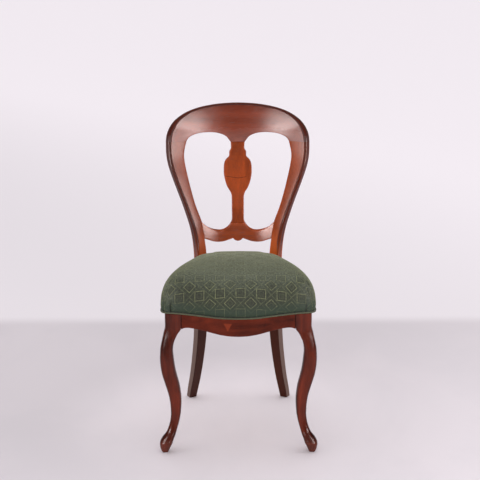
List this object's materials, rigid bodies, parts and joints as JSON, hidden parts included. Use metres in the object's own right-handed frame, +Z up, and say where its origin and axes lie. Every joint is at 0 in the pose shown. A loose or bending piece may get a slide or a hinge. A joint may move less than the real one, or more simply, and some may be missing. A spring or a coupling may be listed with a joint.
{
  "type": "balloon back dining chair",
  "caption": "Wooden side chair with a rounded open back, a vase-shaped splat, a carved cross rail, a sprung upholstered seat with piping, and curved front legs.",
  "frame": {"origin": "centre of the footprint on the floor, under the middle of the whole chair's box", "axes": "+Z up, -Y towards the front of the chair, +X to the right of someone who looks at its front"},
  "size_m": [0.4424, 0.5402, 0.9199],
  "materials": {
    "frame_wood": "french polished red-brown mahogany",
    "splat_wood": "french polished, a little more orange than the frame",
    "block_wood": "plain sawn beech",
    "dowel_wood": "plain turned beech",
    "screw_steel": "dull old steel",
    "tack_steel": "blued steel",
    "spring_wire": "lacquered spring wire",
    "webbing": "woven jute",
    "canvas": "plain hessian",
    "stuffing": "hair under wadding",
    "cover_fabric": "ribbed olive green weave with a geometric lattice",
    "piping": "grey-green woven cord"
  },
  "bodies": {
    "root": {"crest_rail": "frame_wood", "splat": "splat_wood", "cross_rail": "frame_wood", "back_post_left": "frame_wood", "back_post_right": "frame_wood", "front_leg_left": "frame_wood", "front_leg_right": "frame_wood", "front_seat_rail": "frame_wood", "side_seat_rail_left": "frame_wood", "side_seat_rail_right": "frame_wood", "rear_seat_rail": "frame_wood", "front_corner_block_left": "block_wood", "front_corner_block_right": "block_wood", "rear_corner_block_left": "block_wood", "rear_corner_block_right": "block_wood", "corner_block_screws": "screw_steel", "rail_dowels": "dowel_wood", "crest_dowels": "dowel_wood", "cross_rail_dowels": "dowel_wood", "long_webbing": "webbing", "cross_webbing": "webbing", "webbing_tacks": "tack_steel", "seat_springs": "spring_wire", "spring_canvas": "canvas", "seat_stuffing": "stuffing", "seat_cover": "cover_fabric", "seat_piping": "piping", "rear_piping": "piping"}
  },
  "joints": []
}
